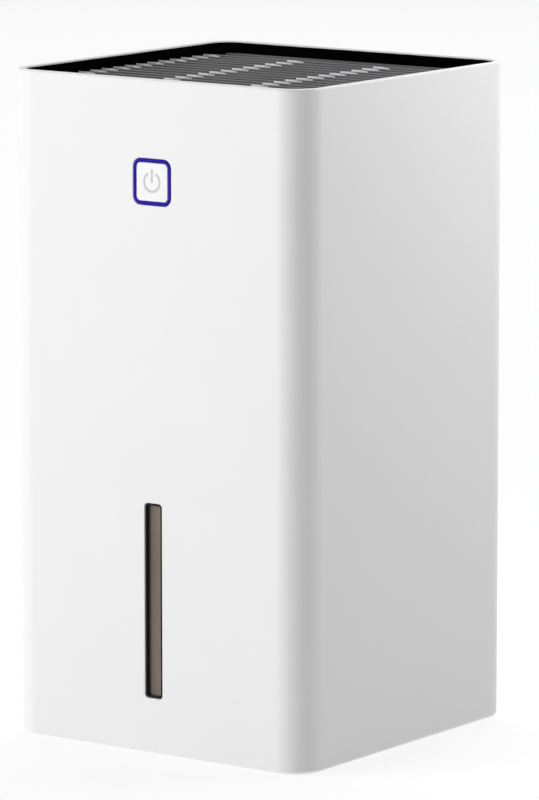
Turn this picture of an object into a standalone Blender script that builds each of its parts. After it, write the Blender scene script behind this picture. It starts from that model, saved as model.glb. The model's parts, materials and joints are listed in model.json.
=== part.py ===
"""Countertop thermoelectric dehumidifier, modelled piece by piece.

Sizes are in millimetres and become metres when a mesh is made. +Z is up and the front faces -Y.
The origin is the middle of the footprint, on the surface that the rubber feet stand on.
Moist air enters the rear grille, drips on the cold fins into the tank, and leaves through the top.
"""

import math

import bmesh
import bpy
from mathutils import Matrix, Vector

MM = 0.001

# Casing: a square column with rounded vertical corners
BODY_SIDE = 135.0
BODY_HEIGHT = 250.0
CORNER_RADIUS = 12.0
WALL = 2.5
FOOT_PROUD = 0.6
FOOT_AT = 46.0
FOOT_RADIUS = 7.0
RIM_ROUND = 0.8
GAP = 0.3

# Front features, centred on the width
BUTTON_Z = 212.5
BUTTON_SIDE = 16.6
BUTTON_ROUND = 3.0
BUTTON_TRAVEL = 0.5
RING_WIDTH = 1.0
WINDOW_WIDTH = 7.9
WINDOW_Z = (21.2, 94.1)
WINDOW_ROUND = 1.5
PANE_SUNK = 0.3
PANE_RIM = 0.5
PANE_DEPTH = 1.5

# Top grille: louvres along X, held by four light combs in channels under them
GRILLE_DROP = 4.5
GRILLE_THICK = 3.5
SKIRT_DROP = 0.6
SKIRT_WALL = 1.5
LOUVRE_PITCH = 7.1
LOUVRE_COUNT = 18
LOUVRE_SLOT = 5.0
LOUVRE_OVER_BAR = 0.8
TOOTH_PROUD = 0.6
TOOTH_FALL = 0.9
BAR_PITCH = 39.8
BAR_WIDTH = 4.6
BAR_LENGTH = 119.4

# Back: the air inlet's opening and the power jack
INLET_HALF = 45.0
INLET_Z = (140.0, 225.0)
INLET_ROWS = 10
INLET_PITCH = 7.6
INLET_SLOT = 4.2
JACK_X = 30.0
JACK_Z = 126.0

# Lower half: the water tank, which pulls out of the back
TANK_WALL = 2.0
TANK_HALF = 54.4
TANK_ROUND = 5.0
TANK_SOLE_ROUND = 4.0
TANK_Z = (5.6, 104.0)
TANK_FRONT_Y = -63.1
TANK_BACK_Y = 51.7
LID_THICK = 2.5
HANDLE_HALF = 54.5
HANDLE_ROUND = 4.0
HANDLE_Z = (5.6, 112.0)
DRIP_Y = 18.5
SCREW_AT = 59.4

# Float, hung from the tank lid
FLOAT_PIVOT = (38.0, 34.0, 96.0)
FLOAT_REST_DEG = 30.0

# Upper half: chassis deck, cooler, fan
DECK_Z = (114.0, 117.0)
COLUMN_AT = ((-50.0, -46.5), (50.0, -46.5), (-50.0, 50.0), (50.0, 50.0))
COLUMN_SIDE = 7.0
FAN_PLATE_Z = (209.0, 212.0)
FAN_Y = 4.0
FAN_HALF = 40.0
FAN_Z = (212.3, 232.3)
FAN_HOLE_PITCH = 71.5
BLADE_COUNT = 7
BLADE_TIP = 37.2
HUB_RADIUS = 16.3
MODULE_HALF = 20.0
MODULE_Z = 165.0
COLD_Y = (5.9, 30.0)
HOT_Y = (-34.0, 1.6)
BOARD_Y = (-51.9, -50.3)

HALF = BODY_SIDE / 2
INNER = HALF - WALL
INNER_RADIUS = CORNER_RADIUS - WALL
FIT = INNER - GAP
FIT_RADIUS = INNER_RADIUS - GAP
GRILLE_TOP = BODY_HEIGHT - GRILLE_DROP
GRILLE_BASE = GRILLE_TOP - GRILLE_THICK

# Finish: base colour, roughness, metallic
FINISHES = {
    "shell_white": ((0.86, 0.86, 0.86), 0.42, 0.0),
    "grille_black": ((0.02, 0.02, 0.022), 0.5, 0.0),
    "bar_silver": ((0.55, 0.55, 0.56), 0.4, 0.0),
    "tank_smoke": ((0.12, 0.10, 0.085), 0.15, 0.0),
    "lid_grey": ((0.45, 0.45, 0.46), 0.45, 0.0),
    "rubber_dark": ((0.03, 0.03, 0.03), 0.8, 0.0),
    "steel": ((0.6, 0.6, 0.6), 0.3, 1.0),
    "aluminium": ((0.8, 0.8, 0.81), 0.35, 1.0),
    "ceramic_white": ((0.85, 0.84, 0.8), 0.6, 0.0),
    "foam_black": ((0.04, 0.04, 0.04), 0.95, 0.0),
    "foam_white": ((0.85, 0.85, 0.82), 0.9, 0.0),
    "chassis_grey": ((0.22, 0.22, 0.23), 0.55, 0.0),
    "fan_black": ((0.03, 0.03, 0.03), 0.45, 0.0),
    "copper": ((0.72, 0.35, 0.2), 0.35, 1.0),
    "brass": ((0.75, 0.6, 0.3), 0.3, 1.0),
    "board_green": ((0.03, 0.2, 0.08), 0.5, 0.0),
    "part_black": ((0.02, 0.02, 0.02), 0.45, 0.0),
    "connector_white": ((0.8, 0.78, 0.7), 0.5, 0.0),
    "button_white": ((0.88, 0.88, 0.9), 0.35, 0.0),
    "ring_blue": ((0.02, 0.01, 0.4), 0.3, 0.0),
    "led_blue": ((0.1, 0.15, 0.9), 0.2, 0.0),
    "wire_red": ((0.6, 0.02, 0.02), 0.5, 0.0),
    "wire_black": ((0.02, 0.02, 0.02), 0.5, 0.0),
    "wire_white": ((0.75, 0.75, 0.75), 0.5, 0.0),
}

FULL_TURN = 2 * math.pi


def clear_scene():
    for obj in list(bpy.data.objects):
        bpy.data.objects.remove(obj, do_unlink=True)


def new_collection(name, hidden=False):
    collection = bpy.data.collections.new(name)
    collection.hide_render = hidden
    bpy.context.scene.collection.children.link(collection)
    return collection


def new_material(name, finish):
    colour, roughness, metallic = FINISHES[finish]
    material = bpy.data.materials.new(name)
    material.use_nodes = True
    shader = material.node_tree.nodes["Principled BSDF"]
    shader.inputs["Base Color"].default_value = (*colour, 1.0)
    shader.inputs["Roughness"].default_value = roughness
    shader.inputs["Metallic"].default_value = metallic
    return material


def place(name, mesh, centre, finish):
    """Links a mesh as a part with its own material or, with no finish, as a cutter or joined shape."""
    obj = bpy.data.objects.new(name, mesh)
    obj.location = Vector(centre) * MM
    if finish:
        obj.data.materials.append(new_material(name, finish))
        parts.objects.link(obj)
    else:
        obj.hide_render = True
        obj.display_type = "WIRE"
        tools.objects.link(obj)
    return obj


def block(name, low, high, finish=None, radius=0.0, along="Z", segments=4):
    """A box between two corners; radius rounds the four edges that run along one axis."""
    low, high = Vector(low), Vector(high)
    mesh = bpy.data.meshes.new(name)
    work = bmesh.new()
    bmesh.ops.create_cube(work, size=1.0)
    bmesh.ops.scale(work, vec=(high - low) * MM, verts=work.verts)
    if radius:
        axis = "XYZ".index(along)
        edges = []
        for edge in work.edges:
            way = edge.verts[1].co - edge.verts[0].co
            if abs(way[axis]) > 0.9 * way.length:
                edges.append(edge)
        bmesh.ops.bevel(
            work, geom=edges, offset=radius * MM, segments=segments, profile=0.5, affect="EDGES"
        )
    work.to_mesh(mesh)
    work.free()
    return place(name, mesh, (low + high) / 2, finish)


def rod(name, start, end, radius, finish=None, sides=16):
    """A round bar from start to end."""
    start, end = Vector(start), Vector(end)
    way = end - start
    turn = way.to_track_quat("Z", "Y").to_matrix().to_4x4()
    mesh = bpy.data.meshes.new(name)
    work = bmesh.new()
    bmesh.ops.create_cone(
        work,
        cap_ends=True,
        segments=sides,
        radius1=radius * MM,
        radius2=radius * MM,
        depth=way.length * MM,
        matrix=turn @ Matrix.Rotation(math.pi / sides, 4, "Z"),
    )
    work.to_mesh(mesh)
    work.free()
    mesh.shade_smooth()
    mesh.set_sharp_from_angle(angle=math.radians(40))
    return place(name, mesh, (start + end) / 2, finish)


def gather(name, shapes):
    """Joins cutters that don't touch into one mesh, so that one Boolean takes them all."""
    work = bmesh.new()
    for shape in shapes:
        turn = shape.rotation_euler.to_matrix().to_4x4()
        shape.data.transform(Matrix.Translation(shape.location) @ turn)
        work.from_mesh(shape.data)
        bpy.data.objects.remove(shape, do_unlink=True)
    mesh = bpy.data.meshes.new(name)
    work.to_mesh(mesh)
    work.free()
    return place(name, mesh, (0.0, 0.0, 0.0), None)


def boolean(obj, other, operation):
    modifier = obj.modifiers.new(f"{operation.lower()} {other.name}", "BOOLEAN")
    modifier.operation = operation
    modifier.object = other
    modifier.solver = "EXACT"
    return obj


def cut(obj, *cutters):
    for cutter in cutters:
        boolean(obj, cutter, "DIFFERENCE")
    return obj


def join(obj, *shapes):
    for shape in shapes:
        boolean(obj, shape, "UNION")
    return obj


def screw(name, head_start, head_end, tip, head_radius, shaft_radius):
    """A steel screw: the head between two points, and a shaft on to the tip."""
    head = rod(name, head_start, head_end, head_radius, "steel", sides=14)
    middle = (Vector(head_start) + Vector(head_end)) / 2
    shaft = rod(f"{name} shaft", middle, tip, shaft_radius, sides=8)
    return join(head, shaft)


def wire(name, points, radius, finish):
    """An insulated lead along hand-placed points, smoothed by a Catmull-Rom curve."""
    steps = 3
    guide = [Vector(point) for point in points]
    padded = [guide[0] * 2 - guide[1], *guide, guide[-1] * 2 - guide[-2]]
    smooth = []
    for index in range(1, len(padded) - 2):
        before, start, end, after = padded[index - 1 : index + 3]
        for step in range(steps):
            t = step / steps
            smooth.append(
                0.5
                * (
                    2 * start
                    + (end - before) * t
                    + (2 * before - 5 * start + 4 * end - after) * t**2
                    + (3 * start - before - 3 * end + after) * t**3
                )
            )
    smooth.append(guide[-1])
    curve = bpy.data.curves.new(name, "CURVE")
    curve.dimensions = "3D"
    curve.bevel_depth = radius * MM
    curve.bevel_resolution = 1
    curve.use_fill_caps = True
    spline = curve.splines.new("POLY")
    spline.points.add(len(smooth) - 1)
    for point, where in zip(spline.points, smooth):
        point.co = (*(where * MM), 1.0)
    return place(name, curve, (0.0, 0.0, 0.0), finish)


def corners(reach):
    return [(x, y) for y in (-reach, reach) for x in (-reach, reach)]


def make_outer_housing():
    housing = block(
        "outer_housing",
        (-HALF, -HALF, FOOT_PROUD),
        (HALF, HALF, BODY_HEIGHT),
        "shell_white",
        CORNER_RADIUS,
        segments=8,
    )
    rounding = housing.modifiers.new("rounded rims", "BEVEL")
    rounding.width = RIM_ROUND * MM
    rounding.segments = 2
    rounding.limit_method = "ANGLE"
    rounding.angle_limit = math.radians(40)
    hollow = block(
        "housing hollow",
        (-INNER, -INNER, -2),
        (INNER, INNER, BODY_HEIGHT + 2),
        radius=INNER_RADIUS,
        segments=8,
    )
    cut(housing, hollow)
    boss_inner, boss_outer = 54.9, INNER + 0.4
    for number, (x, y) in enumerate(corners(1)):
        low = (min(x * boss_inner, x * boss_outer), min(y * boss_inner, y * boss_outer), 5.3)
        high = (max(x * boss_inner, x * boss_outer), max(y * boss_inner, y * boss_outer), 113.7)
        join(housing, block(f"boss {number}", low, high, radius=5.2))
    rest_z = (GRILLE_BASE - GAP - 4, GRILLE_BASE - GAP)
    for number in range(4):
        x, y = round(math.cos(number * math.pi / 2)), round(math.sin(number * math.pi / 2))
        middle = Vector((x * (INNER - 1), y * (INNER - 1), 0))
        reach = Vector((6 if y else 1.6, 6 if x else 1.6, 0))
        low, high = middle - reach, middle + reach
        low.z, high.z = rest_z
        join(housing, block(f"grille rest {number}", low, high))
    for side in (-1, 1):
        start = (side * 13.6, -INNER - 0.5, BUTTON_Z)
        join(housing, rod(f"button post {side}", start, (side * 13.6, -55.4, BUTTON_Z), 2.3, sides=12))
    half_window = WINDOW_WIDTH / 2
    half_button = BUTTON_SIDE / 2 + GAP
    cut(
        housing,
        block(
            "window cutter",
            (-half_window, -HALF - 2, WINDOW_Z[0]),
            (half_window, -INNER + 1, WINDOW_Z[1]),
            radius=WINDOW_ROUND,
            along="Y",
        ),
        block(
            "button cutter",
            (-half_button, -HALF - 2, BUTTON_Z - half_button),
            (half_button, -INNER + 1, BUTTON_Z + half_button),
            radius=BUTTON_ROUND + GAP,
            along="Y",
        ),
        block(
            "tank door cutter",
            (-HANDLE_HALF - GAP, INNER - 1, HANDLE_Z[0] - GAP),
            (HANDLE_HALF + GAP, HALF + 2, HANDLE_Z[1] + GAP),
            radius=HANDLE_ROUND + GAP,
            along="Y",
        ),
        block(
            "inlet cutter",
            (-INLET_HALF - GAP, INNER - 1, INLET_Z[0] - GAP),
            (INLET_HALF + GAP, HALF + 2, INLET_Z[1] + GAP),
            radius=3.3,
            along="Y",
        ),
        rod("jack cutter", (JACK_X, INNER - 1, JACK_Z), (JACK_X, HALF + 2, JACK_Z), 4.2),
    )
    pilots = []
    for x, y in corners(SCREW_AT):
        pilots.append(rod("pilot", (x, y, 4), (x, y, 20), 1.6, sides=8))
    cut(housing, gather("boss pilots", pilots))


def make_window_pane():
    """A smoked pane: a thin rim lines the slot, its floor lies deep, and a flange holds it from behind."""
    half = WINDOW_WIDTH / 2 - GAP
    pane = block(
        "window_pane",
        (-half, -HALF + PANE_SUNK, WINDOW_Z[0] + GAP),
        (half, -INNER + 0.8, WINDOW_Z[1] - GAP),
        "tank_smoke",
        WINDOW_ROUND - GAP,
        along="Y",
    )
    flange = block(
        "pane flange",
        (-half - 2.5, -INNER + GAP, WINDOW_Z[0] - 2),
        (half + 2.5, -INNER + GAP + 1.1, WINDOW_Z[1] + 2),
    )
    join(pane, flange)
    inside = half - PANE_RIM
    recess = block(
        "pane recess",
        (-inside, -HALF - 1, WINDOW_Z[0] + GAP + PANE_RIM),
        (inside, -HALF + PANE_DEPTH, WINDOW_Z[1] - GAP - PANE_RIM),
        radius=WINDOW_ROUND - GAP - PANE_RIM,
        along="Y",
    )
    cut(pane, recess)


def make_base_plate():
    plate = block(
        "base_plate", (-FIT, -FIT, FOOT_PROUD), (FIT, FIT, 5.0), "shell_white", FIT_RADIUS
    )
    for number, (x, y) in enumerate(corners(SCREW_AT), start=1):
        hole = rod(f"plate hole {number}", (x, y, 0), (x, y, 7), 1.7, sides=12)
        counterbore = rod(f"plate counterbore {number}", (x, y, 0), (x, y, 2.7), 2.9, sides=16)
        cut(plate, hole, counterbore)
        screw(f"base_screw_{number}", (x, y, 2.4), (x, y, 1.2), (x, y, 15), 2.5, 1.25)
    for number, (x, y) in enumerate(corners(FOOT_AT), start=1):
        cut(plate, rod(f"foot recess {number}", (x, y, 0), (x, y, 2.3), FOOT_RADIUS + GAP, sides=24))
        rod(f"rubber_foot_{number}", (x, y, 0), (x, y, 2.0), FOOT_RADIUS, "rubber_dark", sides=24)


def make_top_grille():
    """A tray with a skirt up the rim and a floor of louvres. Combs pass under them, with teeth between."""
    tray = block(
        "top_grille",
        (-FIT, -FIT, GRILLE_BASE),
        (FIT, FIT, BODY_HEIGHT - SKIRT_DROP),
        "grille_black",
        FIT_RADIUS,
        segments=6,
    )
    reach = FIT - SKIRT_WALL
    dish = block(
        "grille dish",
        (-reach, -reach, GRILLE_TOP),
        (reach, reach, BODY_HEIGHT + 2),
        radius=FIT_RADIUS - SKIRT_WALL,
        segments=6,
    )
    slots = []
    rows = [(row - (LOUVRE_COUNT - 2) / 2) * LOUVRE_PITCH for row in range(LOUVRE_COUNT - 1)]
    for y in rows:
        end = reach - (3.0 if abs(y) > 50 else 0.3)
        low = (-end, y - LOUVRE_SLOT / 2, GRILLE_BASE - 2)
        high = (end, y + LOUVRE_SLOT / 2, GRILLE_TOP + 2)
        slots.append(block("slot", low, high))
    channel_top = GRILLE_TOP - LOUVRE_OVER_BAR
    channels = []
    for number in range(4):
        x = (number - 1.5) * BAR_PITCH
        half = BAR_WIDTH / 2
        channels.append(
            block(
                "channel",
                (x - half - GAP, -BAR_LENGTH / 2 - GAP, GRILLE_BASE - 2),
                (x + half + GAP, BAR_LENGTH / 2 + GAP, channel_top),
            )
        )
        bar = block(
            f"grille_bar_{number + 1}",
            (x - half, -BAR_LENGTH / 2, GRILLE_BASE),
            (x + half, BAR_LENGTH / 2, channel_top - GAP),
            "bar_silver",
        )
        teeth = []
        for y in rows[1:-1]:
            low = (x - half + 0.05, y - LOUVRE_SLOT / 2 + GAP, GRILLE_BASE + 1)
            high = (x + half - 0.05, y + LOUVRE_SLOT / 2 - GAP, GRILLE_TOP + TOOTH_PROUD)
            tooth = block("tooth", low, high)
            for vertex in tooth.data.vertices:
                if vertex.co.y > 0 and vertex.co.z > 0:
                    vertex.co.z -= TOOTH_FALL * MM
            teeth.append(tooth)
        join(bar, gather(f"teeth {number}", teeth))
    cut(tray, dish, gather("louvre slots", slots), gather("bar channels", channels))


def make_rear_inlet_grille():
    low_z, high_z = INLET_Z
    panel = block(
        "rear_inlet_grille",
        (-INLET_HALF, INNER - 1.4, low_z),
        (INLET_HALF, HALF, high_z),
        "shell_white",
        3.0,
        along="Y",
    )
    flange_low = (-INLET_HALF - 2, INNER - 2.6, low_z - 2)
    flange_high = (INLET_HALF + 2, INNER - GAP, high_z + 2)
    join(panel, block("inlet flange", flange_low, flange_high))
    slots = []
    for row in range(INLET_ROWS):
        z = (low_z + high_z) / 2 + (row - (INLET_ROWS - 1) / 2) * INLET_PITCH
        for near, far in ((-41, -2), (2, 41)):
            low = (near, INNER - 5, z - INLET_SLOT / 2)
            high = (far, HALF + 2, z + INLET_SLOT / 2)
            slots.append(block("slot", low, high))
    cut(panel, gather("inlet slots", slots))


def round_underside(obj, radius):
    """Rounds the edges of a block's underside."""
    work = bmesh.new()
    work.from_mesh(obj.data)
    floor = min(vert.co.z for vert in work.verts)
    edges = []
    for edge in work.edges:
        if max(vert.co.z for vert in edge.verts) < floor + 0.01 * MM:
            edges.append(edge)
    bmesh.ops.bevel(
        work, geom=edges, offset=radius * MM, segments=4, profile=0.5, affect="EDGES"
    )
    work.to_mesh(obj.data)
    work.free()


def make_tank():
    tank = block(
        "water_tank",
        (-TANK_HALF, TANK_FRONT_Y, TANK_Z[0]),
        (TANK_HALF, TANK_BACK_Y, TANK_Z[1]),
        "tank_smoke",
        TANK_ROUND,
    )
    round_underside(tank, TANK_SOLE_ROUND)
    inside = TANK_HALF - TANK_WALL
    cut(
        tank,
        block(
            "tank hollow",
            (-inside, TANK_FRONT_Y + TANK_WALL, TANK_Z[0] + TANK_WALL),
            (inside, TANK_BACK_Y - TANK_WALL, TANK_Z[1] + 3),
            radius=3.2,
        ),
    )
    lid_z = TANK_Z[1] + GAP
    lid = block(
        "tank_lid",
        (-TANK_HALF, TANK_FRONT_Y, lid_z),
        (TANK_HALF, TANK_BACK_Y, lid_z + LID_THICK),
        "lid_grey",
        TANK_ROUND,
    )
    lip = block(
        "lid lip",
        (-inside + 0.4, TANK_FRONT_Y + TANK_WALL + 0.4, lid_z - 4),
        (inside - 0.4, TANK_BACK_Y - TANK_WALL - 0.4, lid_z + 1),
        radius=3.0,
    )
    lip_hollow = block(
        "lid lip hollow",
        (-inside + 2.2, TANK_FRONT_Y + TANK_WALL + 2.2, lid_z - 6),
        (inside - 2.2, TANK_BACK_Y - TANK_WALL - 2.2, lid_z + 0.3),
        radius=1.4,
    )
    join(lid, lip)
    cut(lid, lip_hollow)
    x, y, z = FLOAT_PIVOT
    for side in (-1, 1):
        low = (x + side * 7 - 1.25, y - 4, z - 4)
        high = (x + side * 7 + 1.25, y + 4, lid_z + 1)
        join(lid, block(f"float lug {side}", low, high))
    cut(
        lid,
        rod("lid drip hole", (0, DRIP_Y, lid_z - 8), (0, DRIP_Y, lid_z + 8), 8.0, sides=24),
        rod("float pin hole", (x - 12, y, z), (x + 12, y, z), 1.06),
    )


def make_tank_handle():
    """The panel that closes the tank bay flush with the back, with a recessed finger grip."""
    low_z, high_z = HANDLE_Z
    front_y = TANK_BACK_Y + GAP
    panel = block(
        "tank_handle_panel",
        (-HANDLE_HALF, front_y, low_z),
        (HANDLE_HALF, HALF, high_z),
        "shell_white",
        HANDLE_ROUND,
        along="Y",
    )
    cut(
        panel,
        block(
            "panel hollow", (-52.3, front_y - 2, low_z + 2.2), (52.3, HALF - 2.3, high_z - 2.2)
        ),
    )
    join(panel, block("grip cup", (-34, 54.6, 60), (34, HALF - 1, 90), radius=6, along="Y"))
    cut(panel, block("grip", (-32, 56.6, 62), (32, HALF + 2, 88), radius=5, along="Y"))


def make_float():
    """An arm on a pin through the lid's lugs. It hangs down on its stop tail until water lifts it."""
    x, y, z = FLOAT_PIVOT
    rod("float_pin", (x - 9, y, z), (x + 9, y, z), 1.0, "steel")
    pivot = bpy.data.objects.new("float_pivot", None)
    pivot.location = Vector(FLOAT_PIVOT) * MM
    pivot.rotation_euler = (math.radians(FLOAT_REST_DEG), 0, 0)
    parts.objects.link(pivot)
    arm = rod("float_arm", (-5.2, 0, 0), (5.2, 0, 0), 3.0, "lid_grey", sides=20)
    join(
        arm,
        block("arm bar", (-2, -40, -1.5), (2, 0, 1.5)),
        rod("arm stop tail", (0, 0, 0), (0, 7.4, 2.6), 1.5, sides=8),
    )
    cut(arm, rod("arm bore", (-8, 0, 0), (8, 0, 0), 1.08))
    pad = block("float_block", (-12, -42, -16), (12, -20, -1.8), "foam_white", 3.0)
    magnet = rod("float_magnet", (0, -31, 1.8), (0, -31, 4.8), 4.0, "steel", sides=20)
    for piece in (arm, pad, magnet, *[obj for obj in tools.objects if obj.name.startswith("arm ")]):
        piece.parent = pivot


def make_chassis():
    low_z, high_z = DECK_Z
    deck = block("inner_chassis", (-FIT, -FIT, low_z), (FIT, FIT, high_z), "chassis_grey", FIT_RADIUS)
    half = COLUMN_SIDE / 2
    for number, (x, y) in enumerate(COLUMN_AT):
        low = (x - half, y - half, high_z - 1)
        high = (x + half, y + half, FAN_PLATE_Z[0] - GAP)
        join(deck, block(f"column {number}", low, high))
    for side in (-1, 1):
        low = (side * 30 - 4, -30, high_z - 1)
        high = (side * 30 + 4, -3, 127.7)
        join(deck, block(f"cooler rest {side}", low, high))
    cut(deck, rod("deck drip hole", (0, DRIP_Y, 110), (0, DRIP_Y, 120), 6.6, sides=20))
    plate = block(
        "fan_plate", (-60, BOARD_Y[1], FAN_PLATE_Z[0]), (60, 60, FAN_PLATE_Z[1]), "chassis_grey", 6.0
    )
    cut(
        plate,
        rod("fan opening", (0, FAN_Y, 205), (0, FAN_Y, 215), 37.6, sides=32),
        rod("cable hole", (-55, -24, 205), (-55, -24, 215), 3.2, sides=12),
    )
    for side in (-1, 1):
        x, y = side * FAN_HOLE_PITCH / 2, FAN_Y + side * FAN_HOLE_PITCH / 2
        cut(plate, rod(f"fan pilot {side}", (x, y, 205), (x, y, 215), 1.9, sides=8))


def make_funnel():
    """A sloping tray under the cold fins, with a spout through the deck to the lid's drip hole."""
    floor_z = DECK_Z[1] + GAP
    funnel = block("drip_funnel", (-34, 3, floor_z), (34, 34, 131), "lid_grey")
    join(
        funnel,
        rod("funnel spout", (0, DRIP_Y, 109.3), (0, DRIP_Y, floor_z + 2), 6.2, sides=20),
    )
    slope = block("funnel slope", (-32.4, 4.6, 119.3), (32.4, 32.4, 132))
    for vertex in slope.data.vertices:
        if vertex.co.z < 0:
            vertex.co.x *= 4.6 / 32.4
            vertex.co.y *= 4.6 / 13.9
    cut(funnel, slope, rod("funnel bore", (0, DRIP_Y, 108), (0, DRIP_Y, 121), 4.5, sides=20))


def fin_gaps(name, count, pitch, width, low_y, high_y, low_z, high_z):
    gaps = []
    for index in range(count):
        x = (index - (count - 1) / 2) * pitch
        gaps.append(block("gap", (x - width / 2, low_y, low_z), (x + width / 2, high_y, high_z)))
    return gather(name, gaps)


def make_cooler():
    """The thermoelectric module in its foam frame, between the cold fins and the larger hot fins."""
    cold = block("cold_heatsink", (-30, COLD_Y[0], 135), (30, COLD_Y[1], 195), "aluminium")
    cut(cold, fin_gaps("cold gaps", 10, 5.9, 4.4, COLD_Y[0] + 4.1, 40, 130, 200))
    hot = block("hot_heatsink", (-40, HOT_Y[0], 128), (40, HOT_Y[1], 204), "aluminium")
    cut(hot, fin_gaps("hot gaps", 13, 6.0, 4.5, -40, HOT_Y[1] - 4.2, 120, 210))
    low_y, high_y = HOT_Y[1] + GAP, COLD_Y[0] - GAP
    reach = MODULE_HALF
    low, high = MODULE_Z - reach, MODULE_Z + reach
    block("peltier_module", (-reach, low_y, low), (reach, high_y, high), "ceramic_white")
    gasket = block(
        "insulating_gasket", (-29.7, low_y + 0.1, 135.3), (29.7, high_y - 0.1, 194.7), "foam_black"
    )
    cut(
        gasket,
        block("module hole", (-reach - 0.4, 0, low - 0.4), (reach + 0.4, 8, high + 0.4)),
        block("lead notch", (-9, 0, high - 1), (9, 8, 200)),
    )
    for number, side in enumerate((-1, 1), start=1):
        x = side * 26.55
        start, end = (x, HOT_Y[1] - 3.6, MODULE_Z), (x, 20, MODULE_Z)
        bore = rod(f"clamp bore {number}", start, end, 1.6, sides=8)
        cut(cold, bore)
        cut(gasket, bore)
        cut(hot, bore)
        head_y = COLD_Y[0] + 4.4
        screw(
            f"clamp_screw_{number}",
            (x, head_y, MODULE_Z),
            (x, head_y + 1.8, MODULE_Z),
            (x, HOT_Y[1] - 3.2, MODULE_Z),
            1.9,
            1.2,
        )


def make_blade():
    """One twisted blade along +X from the hub, steep at the root and flatter at the tip."""
    work = bmesh.new()
    bmesh.ops.create_cube(work, size=1.0)
    lengthwise = [e for e in work.edges if abs(e.verts[0].co.x - e.verts[1].co.x) > 0.5]
    bmesh.ops.subdivide_edges(work, edges=lengthwise, cuts=2)
    root = HUB_RADIUS - 0.8
    for vert in work.verts:
        share = vert.co.x + 0.5
        radius = root + share * (BLADE_TIP - root)
        along = vert.co.y * (12.0 + 6.0 * share)
        across = vert.co.z * (1.6 - 0.5 * share)
        pitch = math.radians(42 - 14 * share)
        sweep = along * math.cos(pitch) - across * math.sin(pitch)
        lift = along * math.sin(pitch) + across * math.cos(pitch)
        angle = sweep / radius
        vert.co = Vector((radius * math.cos(angle), radius * math.sin(angle), lift)) * MM
    mesh = bpy.data.meshes.new("blade")
    work.to_mesh(mesh)
    work.free()
    return mesh


def make_blades():
    blades = []
    for number in range(BLADE_COUNT):
        blade = place("blade", make_blade(), (0, FAN_Y, 223.6), None)
        blade.rotation_euler.z = number * FULL_TURN / BLADE_COUNT
        blades.append(blade)
    return gather("blades", blades)


def make_fan():
    low_z, high_z = FAN_Z
    frame = block(
        "fan_frame",
        (-FAN_HALF, FAN_Y - FAN_HALF, low_z),
        (FAN_HALF, FAN_Y + FAN_HALF, high_z),
        "fan_black",
        4.0,
    )
    cut(frame, rod("fan duct", (0, FAN_Y, low_z - 3), (0, FAN_Y, high_z + 3), 38.3, sides=40))
    mount_top = low_z + 2.5
    reach = FAN_HALF - 0.8
    join(
        frame,
        rod("motor mount", (0, FAN_Y, low_z), (0, FAN_Y, mount_top), 16, sides=24),
        block("strut x", (-reach, FAN_Y - 1.6, low_z), (reach, FAN_Y + 1.6, mount_top)),
        block("strut y", (-1.6, FAN_Y - reach, low_z), (1.6, FAN_Y + reach, mount_top)),
    )
    for number, side in enumerate((-1, 1), start=1):
        x, y = side * FAN_HOLE_PITCH / 2, FAN_Y + side * FAN_HOLE_PITCH / 2
        cut(frame, rod(f"frame hole {number}", (x, y, low_z - 2), (x, y, high_z + 2), 2.0, sides=12))
        head_z = high_z + GAP
        screw(f"fan_screw_{number}", (x, y, head_z), (x, y, head_z + 2), (x, y, 209.4), 3.0, 1.5)
    bearing = rod("fan_bearing", (0, FAN_Y, mount_top + GAP), (0, FAN_Y, 226.5), 3.4, "brass", sides=16)
    cut(bearing, rod("bearing bore", (0, FAN_Y, 210), (0, FAN_Y, 230), 1.56))
    stator = rod("fan_stator", (0, FAN_Y, 216), (0, FAN_Y, 226.5), 12.6, "copper", sides=24)
    poles = [
        block("pole gap", (7, -1.5, 214), (14, 1.5, 228)),
        block("pole gap", (-14, -1.5, 214), (-7, 1.5, 228)),
        block("pole gap", (-1.5, 7, 214), (1.5, 14, 228)),
        block("pole gap", (-1.5, -14, 214), (1.5, -7, 228)),
    ]
    pole_gaps = gather("pole gaps", poles)
    pole_gaps.location = (0, FAN_Y * MM, 0)
    cut(stator, rod("stator bore", (0, FAN_Y, 210), (0, FAN_Y, 230), 3.8), pole_gaps)
    rod("fan_shaft", (0, FAN_Y, 215.4), (0, FAN_Y, 230.6), 1.5, "steel")
    rotor = rod("fan_rotor", (0, FAN_Y, 216.4), (0, FAN_Y, 231.2), HUB_RADIUS, "fan_black", sides=28)
    join(rotor, make_blades())
    cut(
        rotor,
        rod("rotor cup", (0, FAN_Y, 210), (0, FAN_Y, 228.4), 14.2, sides=28),
        rod("rotor bore", (0, FAN_Y, 226), (0, FAN_Y, 233), 1.56),
    )


def make_electronics():
    back_y, face_y = BOARD_Y[1], BOARD_Y[0] - GAP
    block("main_pcb", (-53, BOARD_Y[0], 128), (53, back_y, 188), "board_green")
    rod("main_capacitor", (-30, face_y, 165), (-30, face_y - 10.5, 165), 5.0, "part_black")
    block("controller_chip", (10, face_y - 1.8, 155), (21, face_y, 166), "part_black")
    block("top_connector", (-46, face_y - 6.5, 178), (-34, face_y, 186), "connector_white")
    block("bottom_connector", (26, face_y - 6.5, 130), (50, face_y, 138), "connector_white")
    x, z = JACK_X, JACK_Z
    jack = block("dc_jack", (x - 6, 52, z - 6.3), (x + 6, INNER - GAP, z + 6.3), "part_black")
    join(jack, rod("jack collar", (x, 60, z), (x, HALF - 0.2, z), 3.9))
    socket = rod("jack socket", (x, 55, z), (x, 70, z), 2.9)
    cut(jack, cut(socket, rod("jack pin core", (x, 54, z), (x, 66, z), 1.0, sides=10)))
    block("level_sensor", (35, 1.5, 117.3), (51, 6.5, 120.8), "part_black")


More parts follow.
